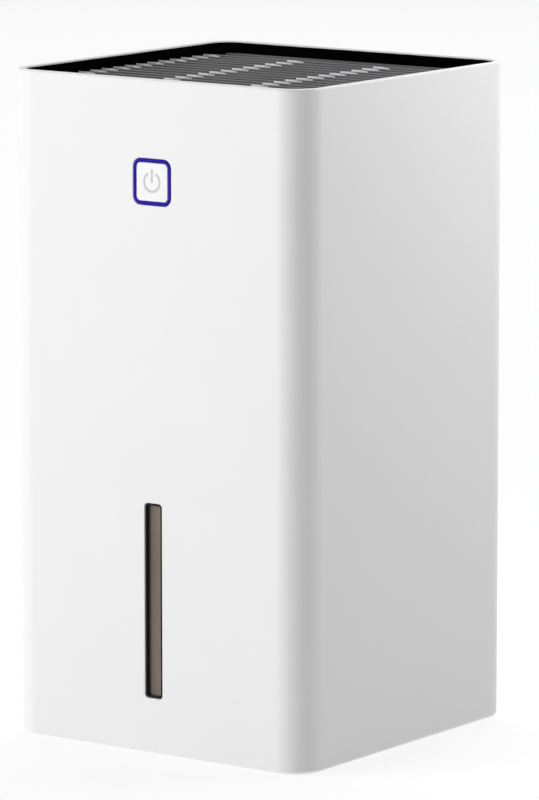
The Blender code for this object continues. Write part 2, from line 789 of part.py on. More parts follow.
def make_button():
    half, lip = BUTTON_SIDE / 2, RING_WIDTH
    mouth = half - lip
    ring = block(
        "light_ring",
        (-half, -HALF, BUTTON_Z - half),
        (half, -64.0, BUTTON_Z + half),
        "ring_blue",
        BUTTON_ROUND,
        along="Y",
    )
    flange = block(
        "ring flange", (-10.5, -INNER + GAP, BUTTON_Z - 10.5), (10.5, -59, BUTTON_Z + 10.5)
    )
    join(ring, flange)
    cut(
        ring,
        block(
            "ring mouth",
            (-mouth, -70, BUTTON_Z - mouth),
            (mouth, -58, BUTTON_Z + mouth),
            radius=BUTTON_ROUND - lip,
            along="Y",
        ),
        block("ring chamber", (-8.2, -64.4, BUTTON_Z - 8.2), (8.2, -57, BUTTON_Z + 8.2)),
    )
    face = mouth - GAP
    cap = block(
        "power_button",
        (-face, -HALF, BUTTON_Z - face),
        (face, -63.5, BUTTON_Z + face),
        "button_white",
        BUTTON_ROUND - lip - GAP,
        along="Y",
    )
    join(
        cap,
        block("cap flange", (-7.8, -64.1, BUTTON_Z - 7.8), (7.8, -62.0, BUTTON_Z + 7.8)),
        rod("cap stem", (0, -63, BUTTON_Z), (0, -61.2, BUTTON_Z), 3.0),
    )
    rod("button_plunger", (0, -60.9, BUTTON_Z), (0, -58.0, BUTTON_Z), 1.6, "part_black", sides=12)
    switch = block(
        "tact_switch", (-3, -58.7, BUTTON_Z - 3), (3, -55.4, BUTTON_Z + 3), "part_black"
    )
    bore_end = -58.0 + BUTTON_TRAVEL + 0.5
    cut(switch, rod("switch bore", (0, -60, BUTTON_Z), (0, bore_end, BUTTON_Z), 2.0, sides=12))
    block("button_pcb", (-17, -55.1, 201), (17, -53.5, 224), "board_green")
    for side in (-1, 1):
        x = side * 9.35
        name = "button_led_1" if side < 0 else "button_led_2"
        block(name, (x - 1.15, -57.2, BUTTON_Z - 1.4), (x + 1.15, -55.4, BUTTON_Z + 1.4), "led_blue")


def make_wires():
    top, face = BOARD_Y[0] - 4.0, BOARD_Y[0] - 1.6
    wire(
        "peltier_wire_red",
        [(5, 3.7, 185.4), (5, 3.7, 194.5), (12, 3.7, 198.4), (36, 3.7, 198), (42.4, 2.8, 198),
         (44.6, -4, 198), (44.2, -36, 197), (42.6, -50, 193), (42, top, 190), (42, top, 185),
         (42, face, 183)],
        0.8,
        "wire_red",
    )
    wire(
        "peltier_wire_black",
        [(-5, 3.7, 185.4), (-5, 3.7, 196.5), (3, 3.7, 201.6), (36, 3.7, 201.8), (42.4, 2.8, 201.8),
         (44.6, -4, 201.8), (44.0, -34, 200.8), (39.4, -50, 195), (38, top, 190), (38, top, 185),
         (38, face, 183)],
        0.8,
        "wire_black",
    )
    wire(
        "fan_cable",
        [(-40.7, -20, 224), (-47, -22, 223), (-54, -24, 216), (-55, -24, 207), (-56.5, -36, 199),
         (-56.5, -49, 194), (-49, top, 191), (-41, top, 190), (-40, top, 186.4)],
        1.1,
        "wire_black",
    )
    wire(
        "button_cable",
        [(-9, -54.3, 200.6), (-9.5, -54.8, 196), (-20, top, 192), (-35, -57.5, 191.5), (-37, -57.5, 186.4)],
        0.9,
        "wire_white",
    )
    wire(
        "dc_cable",
        [(30, 51.6, 126), (32, 46, 125.4), (41, 38, 124.6), (44.3, 20, 124.6), (44.3, -20, 124.2),
         (43, -42, 123.2), (36, -53, 122.6), (31, top - 0.6, 124.8), (31, top - 0.6, 129.6)],
        1.3,
        "wire_black",
    )
    wire(
        "sensor_cable",
        [(51.4, 4, 119.3), (55.5, 0, 120), (57.5, -24, 121), (56, -48, 121.6), (49, -56, 122.6),
         (45, top - 0.6, 125), (45, top - 0.6, 129.6)],
        0.8,
        "wire_white",
    )


clear_scene()
parts = new_collection("dehumidifier")
tools = new_collection("cutters", hidden=True)
make_outer_housing()
make_window_pane()
make_base_plate()
make_top_grille()
make_rear_inlet_grille()
make_tank()
make_tank_handle()
make_float()
make_chassis()
make_funnel()
make_cooler()
make_fan()
make_electronics()
make_button()
make_wires()
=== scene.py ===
"""Looks of the countertop dehumidifier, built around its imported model. Lengths are in metres.

+Z is up and the front faces -Y. Smooth shells, the louvred outlet, the lit button and the smoked tank
replace the plain solids where they show, and every other node gets a procedural material.
"""

import json
import math

import bmesh
import bpy
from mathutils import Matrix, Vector


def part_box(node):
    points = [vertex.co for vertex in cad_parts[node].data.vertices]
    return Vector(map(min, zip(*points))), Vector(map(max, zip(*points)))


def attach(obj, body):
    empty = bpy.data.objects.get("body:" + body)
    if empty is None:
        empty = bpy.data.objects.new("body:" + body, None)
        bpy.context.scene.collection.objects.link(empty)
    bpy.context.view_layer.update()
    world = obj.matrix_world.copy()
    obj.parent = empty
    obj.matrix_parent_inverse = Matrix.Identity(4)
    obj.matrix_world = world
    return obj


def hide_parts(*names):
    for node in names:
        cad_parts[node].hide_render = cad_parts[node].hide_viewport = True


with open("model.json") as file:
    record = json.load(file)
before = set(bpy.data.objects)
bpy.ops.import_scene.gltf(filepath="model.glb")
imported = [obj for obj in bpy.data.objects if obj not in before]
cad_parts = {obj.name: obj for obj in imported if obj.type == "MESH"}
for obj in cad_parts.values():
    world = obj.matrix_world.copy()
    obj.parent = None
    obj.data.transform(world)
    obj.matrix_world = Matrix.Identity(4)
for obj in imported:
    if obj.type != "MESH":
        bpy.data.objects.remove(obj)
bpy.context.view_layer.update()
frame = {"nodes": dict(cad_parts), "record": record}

MM = 0.001
GAP = 0.3 * MM
WALL = 2.5 * MM
CORNER = 12.0 * MM
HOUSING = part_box("outer_housing")
HALF = HOUSING[1].x
TOP = HOUSING[1].z
BOTTOM = HOUSING[0].z
FIT = HALF - WALL - GAP
FIT_CORNER = CORNER - WALL - GAP
CUT_DEEP = WALL + 1.5 * MM

# Openings in the sleeve's front and back walls, as (x, z) corners
OPENINGS = {
    "window_pane": ((-3.95 * MM, 21.2 * MM), (3.95 * MM, 94.1 * MM)),
    "light_ring": ((-8.6 * MM, 203.9 * MM), (8.6 * MM, 221.1 * MM)),
    "tank_handle_panel": ((-54.8 * MM, 5.3 * MM), (54.8 * MM, 112.3 * MM)),
    "rear_inlet_grille": ((-45.3 * MM, 139.7 * MM), (45.3 * MM, 225.3 * MM)),
}

# Screw bosses in the sleeve's corners, and the hole for the power jack
BOSS_LOW = 54.9 * MM
BOSS_ROUND = 5.2 * MM
BOSS_ENDS = (5.3 * MM, 113.7 * MM)
JACK_HOLE = 4.2 * MM

# Smoked pane in the window
PANE_FLOOR = 1.5 * MM
PANE_ROUND = 1.2 * MM
BEZEL_RIM = 0.55 * MM

# Outlet
SKIRT_WALL = 1.5 * MM
LOUVRE_PLANE = 245.5 * MM
LOUVRE_PITCH = 7.1 * MM
LOUVRE_SLOT = 5.0 * MM
LOUVRE_COUNT = 18
LOUVRE_OVER_BAR = 0.8 * MM

# Button
RING_HALF = 8.3 * MM
RING_WIDTH = 1.0 * MM
RING_ROUND = 3.0 * MM
CAP_ROUND = 1.7 * MM

# Rear inlet
SLAT_PITCH = 7.6 * MM
SLAT_ROWS = 10
SLAT_SLOT = 4.2 * MM
SLOT_FROM, SLOT_TO = 2.0 * MM, 41.0 * MM

# Tank and its finger grip
TANK_WALL = 2.0 * MM
TANK_SOLE = 4.0 * MM
TANK_ROUND = 5.0 * MM
GRIP_HALF_U, GRIP_HALF_V = 32 * MM, 13 * MM
GRIP_MIDDLE = 75 * MM
GRIP_DEEP = 10.9 * MM
CUP_WALL = 2 * MM

# Studio: angles in degrees, distance in metres, lens in millimetres
CAMERA_AZIMUTH = 35.82
CAMERA_ELEVATION = 9.34
CAMERA_DISTANCE = 2.0709
CAMERA_LENS = 248.7
FLOOR_GLOW = 0.75

BODY_OF = {}
for body, nodes in frame["record"]["behaviour"]["bodies"].items():
    for node in nodes:
        BODY_OF[node] = body
SLOT_OF = {row["node"]: row["material_slot"] for row in frame["record"]["subparts"]}


# ---------------------------------------------------------------- meshes


def rounded_outline(half_u, half_v, radius, steps):
    """Points of a rounded rectangle, anticlockwise from its right side, as (u, v) pairs."""
    radius = max(min(radius, half_u, half_v), 0.02 * MM)
    points = []
    for corner in range(4):
        side_u = 1 if corner in (0, 3) else -1
        side_v = 1 if corner in (0, 1) else -1
        for step in range(steps + 1):
            angle = (corner + step / steps) * math.pi / 2
            u = side_u * (half_u - radius) + radius * math.cos(angle)
            v = side_v * (half_v - radius) + radius * math.sin(angle)
            points.append((u, v))
    return points


def upright(u, v, depth):
    return Vector((u, v, depth))


def along_y(u, v, depth):
    return Vector((u, depth, v))


def layered(half_u, half_v, radius, layers, centre=(0, 0), steps=8, to_world=upright, ring=False):
    """A closed mesh through rounded rectangles, one for each (inset, depth) layer.

    A ring has no end caps: its last layer joins its first.
    """
    work = bmesh.new()
    loops = []
    for inset, depth in layers:
        outline = rounded_outline(half_u - inset, half_v - inset, radius - inset, steps)
        loop = []
        for u, v in outline:
            loop.append(work.verts.new(to_world(u + centre[0], v + centre[1], depth)))
        loops.append(loop)
    pairs = list(zip(loops, loops[1:]))
    if ring:
        pairs.append((loops[-1], loops[0]))
    count = len(loops[0])
    for lower, upper in pairs:
        for index in range(count):
            after = (index + 1) % count
            work.faces.new((lower[index], lower[after], upper[after], upper[index]))
    if not ring:
        work.faces.new(list(reversed(loops[0])))
        work.faces.new(loops[-1])
    bmesh.ops.recalc_face_normals(work, faces=work.faces)
    return work


def quarter(start, inset_to, depth_to, steps=5):
    """(inset, depth) layers of a quarter circle that leaves start along the depth."""
    inset_from, depth_from = start
    layers = []
    for step in range(steps + 1):
        angle = step / steps * math.pi / 2
        inset = inset_from + (inset_to - inset_from) * (1 - math.cos(angle))
        depth = depth_from + (depth_to - depth_from) * math.sin(angle)
        layers.append((inset, depth))
    return layers


def as_object(name, work):
    mesh = bpy.data.meshes.new(name)
    work.to_mesh(mesh)
    work.free()
    obj = bpy.data.objects.new(name, mesh)
    bpy.context.scene.collection.objects.link(obj)
    return obj


def merged(works):
    """One mesh of several that don't touch."""
    whole = bmesh.new()
    for work in works:
        mesh = bpy.data.meshes.new("part")
        work.to_mesh(mesh)
        work.free()
        whole.from_mesh(mesh)
        bpy.data.meshes.remove(mesh)
    return whole


def box_mesh(low, high, edge=0.0, segments=2):
    """A box between two corners with rounded edges."""
    low, high = Vector(low), Vector(high)
    work = bmesh.new()
    bmesh.ops.create_cube(work, size=1.0)
    bmesh.ops.scale(work, vec=high - low, verts=work.verts)
    bmesh.ops.translate(work, vec=(low + high) / 2, verts=work.verts)
    if edge:
        bmesh.ops.bevel(
            work, geom=work.edges[:], offset=edge, segments=segments, profile=0.5, affect="EDGES"
        )
    return work


def settle(obj):
    """Replaces an object's mesh with what its modifiers make of it."""
    bpy.context.view_layer.update()
    evaluated = obj.evaluated_get(bpy.context.evaluated_depsgraph_get())
    mesh = bpy.data.meshes.new_from_object(evaluated)
    obj.modifiers.clear()
    obj.data = mesh
    return obj


def carve(obj, works, operation="DIFFERENCE"):
    """Cuts each mesh from the object, or joins it on."""
    for work in works:
        tool = as_object("tool", work)
        modifier = obj.modifiers.new("boolean", "BOOLEAN")
        modifier.operation = operation
        modifier.object = tool
        modifier.solver = "EXACT"
        settle(obj)
        bpy.data.objects.remove(tool, do_unlink=True)
    return obj


def piece(obj, material, *stands_for):
    """Finishes a piece: shading, material, and the body of the first node it stands for."""
    obj.data.materials.clear()
    obj.data.materials.append(material)
    obj.data.shade_smooth()
    obj.data.set_sharp_from_angle(angle=math.radians(38))
    weighted = obj.modifiers.new("weighted normals", "WEIGHTED_NORMAL")
    weighted.keep_sharp = True
    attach(obj, BODY_OF[stands_for[0]])
    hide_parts(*stands_for)
    return obj


def flared(low, high, radius, face, way, deep, flare=0.45 * MM):
    """A cutter for an opening with a rounded mouth, in a wall whose face is at y = face.

    low and high are (x, z) corners, and way is +1 or -1 into the wall.
    """
    half_u, half_v = (high[0] - low[0]) / 2, (high[1] - low[1]) / 2
    centre = ((high[0] + low[0]) / 2, (high[1] + low[1]) / 2)
    layers = []
    for step in range(5):
        angle = math.radians(14 + 76 * step / 4)
        layers.append((-flare * (1 - math.sin(angle)), face + way * flare * (1 - math.cos(angle))))
    layers.insert(0, (layers[0][0], face - way * 2 * MM))
    layers.append((0, face + way * deep))
    return layered(half_u, half_v, radius, layers, centre, 8, along_y)


# ---------------------------------------------------------------- materials


class Nodes:
    """A short way to write a material's node tree."""

    def __init__(self, name):
        self.material = bpy.data.materials.new(name)
        self.material.use_nodes = True
        self.tree = self.material.node_tree
        self.shader = self.tree.nodes["Principled BSDF"]
        self.place = self.tree.nodes.new("ShaderNodeTexCoord").outputs["Object"]

    def put(self, node, key, value):
        if isinstance(value, bpy.types.NodeSocket):
            self.tree.links.new(value, node.inputs[key])
        else:
            node.inputs[key].default_value = value

    def add(self, kind, **inputs):
        node = self.tree.nodes.new(kind)
        for key, value in inputs.items():
            self.put(node, key.replace("_", " "), value)
        return node

    def noise(self, scale, detail=2.0, roughness=0.5, stretch=None):
        source = self.place
        if stretch:
            source = self.add("ShaderNodeMapping", Vector=source, Scale=stretch).outputs["Vector"]
        node = self.add(
            "ShaderNodeTexNoise", Vector=source, Scale=scale, Detail=detail, Roughness=roughness
        )
        return node.outputs["Fac"]

    def span(self, value, low, high, start=0.0, end=1.0):
        """Maps low..high of a value to start..end."""
        node = self.tree.nodes.new("ShaderNodeMapRange")
        for index, number in enumerate((value, low, high, start, end)):
            self.put(node, index, number)
        return node.outputs[0]

    def mix(self, factor, first, second):
        node = self.tree.nodes.new("ShaderNodeMix")
        node.data_type = "RGBA"
        for index, value in ((0, factor), (6, first), (7, second)):
            self.put(node, index, value)
        return node.outputs[2]

    def bump(self, height, strength, distance, after=None):
        node = self.add("ShaderNodeBump", Height=height, Strength=strength, Distance=distance)
        if after:
            self.put(node, "Normal", after)
        return node.outputs["Normal"]

    def surface(self, **inputs):
        for key, value in inputs.items():
            self.put(self.shader, key.replace("_", " "), value)
        return self.material


def colour(red, green=None, blue=None):
    if green is None:
        green = blue = red
    return (red, green, blue, 1.0)


def shaded(base, factor, lift=0.0):
    return (*[min(channel * factor + lift, 1.0) for channel in base[:3]], 1.0)


def moulded(name, base, roughness, grain=0.25, tone=0.03, specular=0.5):
    """Moulded plastic: a fine spark-eroded grain, slow waves of the wall and faintly uneven gloss."""
    nodes = Nodes(name)
    patches = nodes.noise(38.0, 3.0)
    fine = nodes.noise(2600.0, 2.0, 0.6)
    shade = nodes.mix(nodes.span(patches, 0.35, 0.65), base, shaded(base, 1 - tone))
    gloss = nodes.span(fine, 0.3, 0.7, roughness - 0.04, roughness + 0.05)
    waves = nodes.bump(nodes.noise(16.0, 1.0), 0.05, 0.002)
    normal = nodes.bump(fine, grain, 0.00004, waves)
    nodes.shader.inputs["Specular IOR Level"].default_value = specular
    return nodes.surface(Base_Color=shade, Roughness=gloss, Normal=normal)


def metal(name, base, roughness, stretch=(1.0, 1.0, 1.0)):
    """Metal with fine drawn lines along one axis and faint stains."""
    nodes = Nodes(name)
    lines = nodes.noise(900.0, 3.0, 0.7, stretch)
    stains = nodes.noise(60.0, 3.0)
    shade = nodes.mix(nodes.span(stains, 0.35, 0.7, 0.0, 0.7), base, shaded(base, 0.8))
    gloss = nodes.span(lines, 0.3, 0.7, roughness - 0.08, roughness + 0.12)
    nodes.shader.inputs["Metallic"].default_value = 1.0
    return nodes.surface(Base_Color=shade, Roughness=gloss, Normal=nodes.bump(lines, 0.2, 0.00003))


def rubbery(name, base, roughness):
    nodes = Nodes(name)
    fine = nodes.noise(1800.0, 3.0, 0.7)
    dust = nodes.noise(140.0, 3.0)
    shade = nodes.mix(nodes.span(dust, 0.45, 0.75, 0.0, 0.5), base, shaded(base, 1.5, 0.01))
    gloss = nodes.span(dust, 0.3, 0.7, roughness - 0.05, roughness + 0.08)
    return nodes.surface(Base_Color=shade, Roughness=gloss, Normal=nodes.bump(fine, 0.3, 0.00006))


def foam(name, base):
    """Closed-cell foam: round cells pressed into the surface, with painted shade darkening the hollow of
    each cell.
    """
    nodes = Nodes(name)
    cells = nodes.add("ShaderNodeTexVoronoi", Vector=nodes.place, Scale=900.0).outputs["Distance"]
    # Painted shade: each cell is darker towards its sunken middle.
    shade = nodes.mix(nodes.span(cells, 0.15, 0.6), shaded(base, 0.72), base)
    gloss = nodes.span(cells, 0.0, 0.6, 0.85, 0.98)
    return nodes.surface(Base_Color=shade, Roughness=gloss, Normal=nodes.bump(cells, 0.5, 0.0002))


def smoked(name, tint, clear_alpha, dull_alpha, slot_shadow_tint=None):
    """Smoked clear plastic with faint marks of dried water; its last tint, if given, is painted shade that
    darkens its left side, where the slot's side wall would shade it.
    """
    nodes = Nodes(name)
    marks = nodes.noise(75.0, 4.0, 0.6, (1.0, 1.0, 0.25))
    shade = nodes.mix(nodes.span(marks, 0.4, 0.75, 0.0, 0.6), tint, shaded(tint, 1.35, 0.005))
    # Painted shade: across the left side the colour darkens towards the last tint, standing in for the slot
    # wall's shadow.
    if slot_shadow_tint:
        across = nodes.add("ShaderNodeSeparateXYZ", Vector=nodes.place).outputs["X"]
        shade = nodes.mix(nodes.span(across, -3.4 * MM, 2.6 * MM), slot_shadow_tint, shade)
    gloss = nodes.span(marks, 0.3, 0.7, 0.08, 0.2)
    alpha = nodes.span(marks, 0.3, 0.7, clear_alpha, dull_alpha)
    normal = nodes.bump(nodes.noise(30.0, 1.0), 0.08, 0.002)
    return nodes.surface(Base_Color=shade, Roughness=gloss, Alpha=alpha, Normal=normal)


def circuit_board(name):
    """Green solder mask over lighter copper tracks."""
    nodes = Nodes(name)
    tracks = nodes.add("ShaderNodeTexBrick", Vector=nodes.place, Scale=260.0, Mortar_Size=0.03)
    tracks.inputs["Color1"].default_value = colour(0.012, 0.09, 0.035)
    tracks.inputs["Color2"].default_value = colour(0.02, 0.13, 0.05)
    tracks.inputs["Mortar"].default_value = colour(0.04, 0.24, 0.09)
    gloss = nodes.span(nodes.noise(300.0), 0.3, 0.7, 0.25, 0.4)
    normal = nodes.bump(tracks.outputs["Fac"], 0.3, 0.00005)
    return nodes.surface(Base_Color=tracks.outputs["Color"], Roughness=gloss, Normal=normal)


def ceramic(name):
    nodes = Nodes(name)
    specks = nodes.noise(1200.0, 3.0, 0.7)
    shade = nodes.mix(nodes.span(specks, 0.3, 0.7), colour(0.78, 0.76, 0.7), colour(0.88, 0.87, 0.83))
    gloss = nodes.span(specks, 0.3, 0.7, 0.5, 0.65)
    return nodes.surface(Base_Color=shade, Roughness=gloss, Normal=nodes.bump(specks, 0.2, 0.00004))


def glowing(name, base, glow, strength, specular):
    """A lit, milky light guide, a little uneven between its lamps."""
    nodes = Nodes(name)
    uneven = nodes.noise(120.0, 2.0)
    light = nodes.mix(nodes.span(uneven, 0.35, 0.65), shaded(glow, 0.75), glow)
    gloss = nodes.span(uneven, 0.3, 0.7, 0.28, 0.38)
    normal = nodes.bump(nodes.noise(2600.0), 0.1, 0.00003)
    nodes.shader.inputs["Emission Strength"].default_value = strength
    nodes.shader.inputs["Specular IOR Level"].default_value = specular
    return nodes.surface(Base_Color=base, Roughness=gloss, Emission_Color=light, Normal=normal)


def make_materials():
    made = [
        moulded("shell_white", colour(0.8), 0.46, 0.12, 0.01),
        moulded("grille_black", colour(0.002), 0.8, 0.2, 0.3, 0.0),
        moulded("louvre_black", colour(0.13, 0.13, 0.135), 0.62, 0.2, 0.15, 0.2),
        moulded("bezel_black", colour(0.006), 0.5, 0.15, 0.3, 0.15),
        moulded("bar_silver", colour(0.93, 0.93, 0.94), 0.42, 0.15, 0.04),
        smoked("tank_smoke", colour(0.1, 0.08, 0.062), 0.72, 0.86),
        # The pane's last colour is painted shade: the slot's side wall shading the pane's left side.
        smoked("pane_smoke", colour(0.18, 0.143, 0.113), 0.9, 0.96, colour(0.1, 0.075, 0.058)),
        moulded("lid_grey", colour(0.42, 0.42, 0.43), 0.45),
        rubbery("rubber_dark", colour(0.02), 0.75),
        metal("steel", colour(0.62, 0.62, 0.63), 0.28),
        metal("magnet_steel", colour(0.68, 0.68, 0.7), 0.18, (1.0, 1.0, 0.2)),
        foam("foam_white", colour(0.82, 0.82, 0.78)),
        foam("foam_black", colour(0.035, 0.035, 0.037)),
        metal("fin_aluminium", colour(0.8, 0.8, 0.81), 0.34, (1.0, 1.0, 0.02)),
        ceramic("ceramic_white"),
        moulded("chassis_grey", colour(0.2, 0.2, 0.21), 0.55),
        moulded("fan_black", colour(0.02, 0.02, 0.021), 0.42, 0.2, 0.2),
        metal("coil_copper", colour(0.7, 0.32, 0.16), 0.35, (1.0, 1.0, 14.0)),
        metal("bearing_brass", colour(0.75, 0.58, 0.28), 0.3),
        circuit_board("board_green"),
        moulded("part_black", colour(0.018), 0.4, 0.2, 0.2),
        moulded("connector_white", colour(0.8, 0.77, 0.68), 0.5),
        moulded("button_white", colour(0.82, 0.82, 0.83), 0.34, 0.08, 0.01),
        glowing("ring_blue", colour(0.003, 0.001, 0.03), colour(0.012, 0.002, 0.33), 1.0, 0.08),
        glowing("led_blue", colour(0.1, 0.12, 0.6), colour(0.1, 0.12, 1.0), 3.0, 0.5),
        rubbery("wire_red", colour(0.5, 0.015, 0.012), 0.5),
        rubbery("wire_black", colour(0.014), 0.5),
        rubbery("wire_white", colour(0.6), 0.5),
        moulded("sign_grey", colour(0.56, 0.55, 0.56), 0.5, 0.1, 0.05),
    ]
    return {material.name: material for material in made}


def paint_nodes():
    """Gives every CAD node the material of its slot."""
    for name, node in frame["nodes"].items():
        node.data.materials.clear()
        node.data.materials.append(materials[SLOT_OF[name]])


# ---------------------------------------------------------------- pieces


def make_shell():
    """The white sleeve: a rounded column with soft rims, corner bosses and openings front and back."""
    rim_out, rim_in, foot = 0.9 * MM, 0.6 * MM, 1.3 * MM
    layers = quarter((0, BOTTOM + foot), foot, BOTTOM)[::-1]
    layers += quarter((0, TOP - rim_out), rim_out, TOP, 6)
    layers += quarter((WALL, TOP - rim_in), WALL - rim_in, TOP, 4)[::-1]
    layers.append((WALL, BOTTOM))
    shell = as_object("housing_shell", layered(HALF, HALF, CORNER, layers, steps=20, ring=True))
    half = (HALF - WALL + 0.4 * MM - BOSS_LOW) / 2
    heights = [(0, height) for height in BOSS_ENDS]
    for side_x in (-1, 1):
        for side_y in (-1, 1):
            centre = (side_x * (BOSS_LOW + half), side_y * (BOSS_LOW + half))
            carve(shell, [layered(half, half, BOSS_ROUND, heights, centre, 6)], "UNION")
    openings = []
    for node, radius, face, way in (
        ("window_pane", 1.5, -HALF, 1),
        ("light_ring", 3.3, -HALF, 1),
        ("tank_handle_panel", 4.3, HALF, -1),
        ("rear_inlet_grille", 3.3, HALF, -1),
    ):
        low, high = OPENINGS[node]
        openings.append(flared(low, high, radius * MM, face, way, CUT_DEEP, 0.3 * MM))
    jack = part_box("dc_jack")
    x, z = (jack[0].x + jack[1].x) / 2, (jack[0].z + jack[1].z) / 2
    low, high = (x - JACK_HOLE, z - JACK_HOLE), (x + JACK_HOLE, z + JACK_HOLE)
    openings.append(flared(low, high, JACK_HOLE, HALF, -1, CUT_DEEP))
    carve(shell, openings)
    piece(shell, materials["shell_white"], "outer_housing")


def make_window():
    """A black bezel lines the slot, and the smoked pane lies deep in it with its flange behind the wall."""
    low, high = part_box("window_pane")
    (left, base), (right, top) = OPENINGS["window_pane"]
    half_u, half_v = (right - left) / 2 - GAP, (top - base) / 2 - GAP
    centre = ((left + right) / 2, (base + top) / 2)
    front, lip, floor = low.y, 0.1 * MM, -HALF + PANE_FLOOR
    layers = [(0, floor)] + quarter((0, front + lip), lip, front, 3)
    layers += quarter((BEZEL_RIM, front + lip), BEZEL_RIM - lip, front, 3)[::-1]
    layers.append((BEZEL_RIM, floor))
    bezel = as_object(
        "window_bezel", layered(half_u, half_v, PANE_ROUND, layers, centre, 8, along_y, ring=True)
    )
    piece(bezel, materials["bezel_black"], "window_pane")
    layers = [(0, floor + 0.05 * MM), (0, -HALF + WALL + 0.5 * MM)]
    pane = as_object("smoked_pane", layered(half_u, half_v, PANE_ROUND, layers, centre, 8, along_y))
    flange = box_mesh((low.x, -HALF + WALL + GAP, low.z), high, 0.3 * MM)
    carve(pane, [flange], "UNION")
    piece(pane, materials["pane_smoke"], "window_pane")


def make_outlet():
    """A black skirt up the rim, and rounded louvres between which the teeth of the four combs show."""
    low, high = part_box("top_grille")
    lip = 0.45 * MM
    layers = [(0, low.z)]
    layers += quarter((0, high.z - lip), lip, high.z, 4)
    layers += quarter((SKIRT_WALL, high.z - lip), SKIRT_WALL - lip, high.z, 4)[::-1]
    layers.append((SKIRT_WALL, low.z))
    skirt = as_object("outlet_skirt", layered(FIT, FIT, FIT_CORNER, layers, steps=16, ring=True))
    piece(skirt, materials["grille_black"], "top_grille")
    reach = FIT - SKIRT_WALL - 0.05 * MM
    half = (LOUVRE_PITCH - LOUVRE_SLOT) / 2
    strips = []
    for row in range(LOUVRE_COUNT):
        middle = (row - (LOUVRE_COUNT - 1) / 2) * LOUVRE_PITCH
        near, far = middle - half, middle + half
        end = reach
        if row in (0, LOUVRE_COUNT - 1):
            near, far = (-reach, far) if row == 0 else (near, reach)
            end = reach - 3.0 * MM
        strips.append(box_mesh((-end, near, low.z), (end, far, LOUVRE_PLANE), 0.35 * MM))
    louvres = as_object("outlet_louvres", merged(strips))
    channels = []
    for number in range(1, 5):
        left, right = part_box(f"grille_bar_{number}")
        channels.append(
            box_mesh(
                (left.x - GAP, left.y - GAP, low.z - MM),
                (right.x + GAP, right.y + GAP, LOUVRE_PLANE - LOUVRE_OVER_BAR),
            )
        )
    carve(louvres, [merged(channels)])
    piece(louvres, materials["louvre_black"], "top_grille")


def make_button():
    """A white cap with a grey power sign let into it, inside a lit blue frame."""
    ring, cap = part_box("light_ring"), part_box("power_button")
    centre = (0, (ring[0].z + ring[1].z) / 2)
    face, edge, short_of_back = ring[0].y, 0.25 * MM, 1.2 * MM
    back = ring[1].y - short_of_back
    layers = [(0, back)] + quarter((0, face + edge), edge, face, 4)
    layers += quarter((RING_WIDTH, face + edge), RING_WIDTH - edge, face, 4)[::-1]
    layers.append((RING_WIDTH, back))
    frame_ring = as_object(
        "light_frame",
        layered(RING_HALF, RING_HALF, RING_ROUND, layers, centre, 12, along_y, ring=True),
    )
    piece(frame_ring, materials["ring_blue"], "light_ring")
    half = RING_HALF - RING_WIDTH - GAP
    layers = quarter((0, face + edge), edge, face, 5)[::-1] + [(0, cap[1].y - short_of_back)]
    button = as_object("power_cap", layered(half, half, CAP_ROUND, layers, centre, 12, along_y))
    piece(button, materials["button_white"], "power_button")
    make_sign(centre, face)


def make_sign(centre, face):
    """The generic power sign: an open circle and a bar, printed a hair proud of the cap."""
    radius, width, proud, sunk = 3.5 * MM, 0.9 * MM, 0.03 * MM, 0.2 * MM
    gap, steps = 30, 40
    work = bmesh.new()
    rings = []
    for step in range(steps + 1):
        angle = math.radians(90 + gap + (360 - 2 * gap) * step / steps)
        cos, sin = math.cos(angle), math.sin(angle)
        loop = []
        for offset, y in ((-1, face - proud), (1, face - proud), (1, face + sunk), (-1, face + sunk)):
            reach = radius + offset * width / 2
            loop.append(work.verts.new((centre[0] + reach * cos, y, centre[1] + reach * sin)))
        rings.append(loop)
    for first, second in zip(rings, rings[1:]):
        for index in range(4):
            after = (index + 1) % 4
            work.faces.new((first[index], first[after], second[after], second[index]))
    work.faces.new(rings[0])
    work.faces.new(list(reversed(rings[-1])))
    bmesh.ops.recalc_face_normals(work, faces=work.faces)
    bar = layered(
        width / 2,
        2.5 * MM,
        0.3 * MM,
        [(0, face - proud), (0, face + sunk)],
        (centre[0], centre[1] + 2.3 * MM),
        4,
        along_y,
    )
    sign = as_object("power_sign", merged([work, bar]))
    piece(sign, materials["sign_grey"], "power_button")


def make_rear_grille():
    """The inlet's frame with rounded horizontal slats and a central post."""
    low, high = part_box("rear_inlet_grille")
    inlet_low, inlet_high = OPENINGS["rear_inlet_grille"]
    half_u = (inlet_high[0] - inlet_low[0]) / 2 - GAP
    half_v = (inlet_high[1] - inlet_low[1]) / 2 - GAP
    middle = (inlet_low[1] + inlet_high[1]) / 2
    edge = 0.5 * MM
    layers = [(0, low.y + 0.6 * MM)] + quarter((0, HALF - edge), edge, HALF, 4)
    panel = as_object("inlet_grille", layered(half_u, half_v, 3.0 * MM, layers, (0, middle), 8, along_y))
    flange = box_mesh(low, (high.x, HALF - WALL - GAP, high.z), 0.4 * MM)
    carve(panel, [flange], "UNION")
    slots = []
    half = SLAT_SLOT / 2
    for row in range(SLAT_ROWS):
        z = middle + (row - (SLAT_ROWS - 1) / 2) * SLAT_PITCH
        for side in (-1, 1):
            left, right = sorted((side * SLOT_FROM, side * SLOT_TO))
            low, high = (left, z - half), (right, z + half)
            slots.append(flared(low, high, half - 0.05 * MM, HALF, -1, 8 * MM))
    carve(panel, [merged(slots)])
    piece(panel, materials["shell_white"], "rear_inlet_grille")


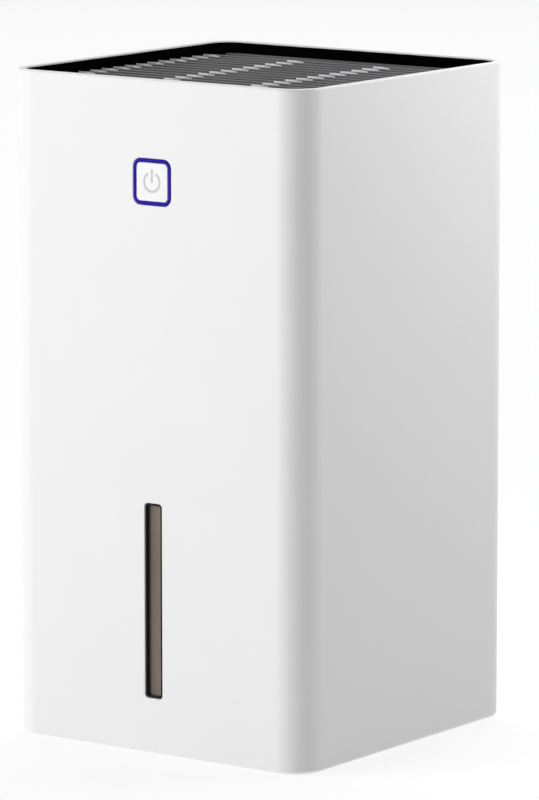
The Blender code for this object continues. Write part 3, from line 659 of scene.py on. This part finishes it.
def make_tank():
    """The open smoked tank, rounded below and at its rim."""
    low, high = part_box("water_tank")
    centre = (0, (low.y + high.y) / 2)
    half_u, half_v = high.x, (high.y - low.y) / 2
    lip, sole = 0.6 * MM, low.z + TANK_SOLE
    layers = quarter((0, sole), TANK_SOLE, low.z, 6)[::-1]
    layers += quarter((0, high.z - lip), lip, high.z, 3)
    layers += quarter((TANK_WALL, high.z - lip), TANK_WALL - lip, high.z, 3)[::-1]
    layers += quarter((TANK_WALL, sole), TANK_SOLE, low.z + TANK_WALL, 6)
    tank = as_object("smoked_tank", layered(half_u, half_v, TANK_ROUND, layers, centre, 12))
    piece(tank, materials["tank_smoke"], "water_tank")


def make_handle():
    """The white panel at the back of the tank, with a deep finger grip."""
    low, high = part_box("tank_handle_panel")
    half_u, half_v = high.x, (high.z - low.z) / 2
    middle = (low.z + high.z) / 2
    edge, skin = 0.6 * MM, 2.2 * MM
    layers = [(skin, high.y - skin), (skin, low.y), (0, low.y)]
    layers += quarter((0, high.y - edge), edge, high.y, 5)
    panel = as_object(
        "tank_handle", layered(half_u, half_v, 4.0 * MM, layers, (0, middle), 10, along_y)
    )
    cup_back = high.y - GRIP_DEEP - CUP_WALL
    cup = layered(
        GRIP_HALF_U + CUP_WALL,
        GRIP_HALF_V + CUP_WALL,
        6 * MM,
        [(0, cup_back), (0, high.y - MM)],
        (0, GRIP_MIDDLE),
        8,
        along_y,
    )
    carve(panel, [cup], "UNION")
    low = (-GRIP_HALF_U, GRIP_MIDDLE - GRIP_HALF_V)
    high_corner = (GRIP_HALF_U, GRIP_MIDDLE + GRIP_HALF_V)
    grip = flared(low, high_corner, 5 * MM, high.y, -1, GRIP_DEEP, 1.2 * MM)
    carve(panel, [grip])
    piece(panel, materials["shell_white"], "tank_handle_panel")


def make_feet():
    """Rubber feet with rounded edges below."""
    for number in range(1, 5):
        low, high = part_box(f"rubber_foot_{number}")
        centre = ((low.x + high.x) / 2, (low.y + high.y) / 2)
        radius, edge = (high.x - low.x) / 2, 0.5 * MM
        layers = quarter((0, low.z + edge), edge, low.z, 4)[::-1] + [(0, high.z)]
        foot = as_object(f"foot_{number}", layered(radius, radius, radius, layers, centre, 12))
        piece(foot, materials["rubber_dark"], f"rubber_foot_{number}")


# ---------------------------------------------------------------- stage


def make_stage():
    """A wide, pale floor that glows faintly, so that it is white to the horizon."""
    floor_material = Nodes("floor")
    tone = floor_material.noise(3.0, 2.0)
    shade = floor_material.mix(tone, colour(0.26), colour(0.28))
    gloss = floor_material.span(tone, 0.3, 0.7, 0.85, 0.95)
    floor_material.surface(Base_Color=shade, Roughness=gloss, Emission_Color=colour(1.0))
    floor_material.shader.inputs["Emission Strength"].default_value = FLOOR_GLOW
    floor_material.shader.inputs["Specular IOR Level"].default_value = 0.1
    work = bmesh.new()
    bmesh.ops.create_grid(work, x_segments=1, y_segments=1, size=9.0)
    floor = as_object("floor", work)
    floor.data.materials.append(floor_material.material)


def towards(azimuth, elevation):
    """The way from the object's axis; azimuth 0 is its front and 90 its right, in degrees."""
    a, e = math.radians(azimuth), math.radians(elevation)
    return Vector((math.sin(a) * math.cos(e), -math.cos(a) * math.cos(e), math.sin(e)))


def make_light(name, azimuth, elevation, distance, size, power, aim_z=0.125):
    """A softbox round the object, turned to the height aim_z on its axis."""
    way = towards(azimuth, elevation)
    data = bpy.data.lights.new(name, "AREA")
    data.shape = "RECTANGLE"
    data.size, data.size_y = size
    data.energy = power
    light = bpy.data.objects.new(name, data)
    light.location = Vector((0, 0, aim_z)) + way * distance
    light.rotation_mode = "QUATERNION"
    light.rotation_quaternion = (-way).to_track_quat("-Z", "Y")
    bpy.context.scene.collection.objects.link(light)


def make_world(strength):
    world = bpy.data.worlds.new("studio")
    bpy.context.scene.world = world
    world.use_nodes = True
    world.node_tree.nodes["Background"].inputs["Color"].default_value = colour(1.0)
    world.node_tree.nodes["Background"].inputs["Strength"].default_value = strength


def make_camera():
    """The camera, to the object's front right and a little above it."""
    back = towards(CAMERA_AZIMUTH, CAMERA_ELEVATION)
    right = (-back).cross(Vector((0, 0, 1))).normalized()
    up = right.cross(-back)
    aim = Vector((0, 0, 0.1253)) + right * 3.14 * MM - up * 1.73 * MM
    data = bpy.data.cameras.new("camera")
    data.lens = CAMERA_LENS
    data.sensor_width = 36.0
    data.clip_start, data.clip_end = 0.1, 50.0
    camera = bpy.data.objects.new("camera", data)
    camera.location = aim + back * CAMERA_DISTANCE
    camera.rotation_mode = "QUATERNION"
    camera.rotation_quaternion = (-back).to_track_quat("-Z", "Y")
    bpy.context.scene.collection.objects.link(camera)
    bpy.context.scene.camera = camera
    bpy.context.scene.view_settings.view_transform = "Standard"


for material in list(bpy.data.materials):
    bpy.data.materials.remove(material)
make_camera()
make_stage()
make_world(0.14)
make_light("front box", -42, 12, 2.0, (1.2, 1.4), 25)
make_light("front high box", -30, 45, 2.0, (1.2, 1.2), 9)
make_light("back box", 205, 50, 3.4, (3.0, 3.0), 72)
make_light("side box", 128.7, 34.5, 0.388, (0.2, 0.2), 0.78, 0.2)
materials = make_materials()
paint_nodes()
make_shell()
make_window()
make_outlet()
make_button()
make_rear_grille()
make_tank()
make_handle()
make_feet()
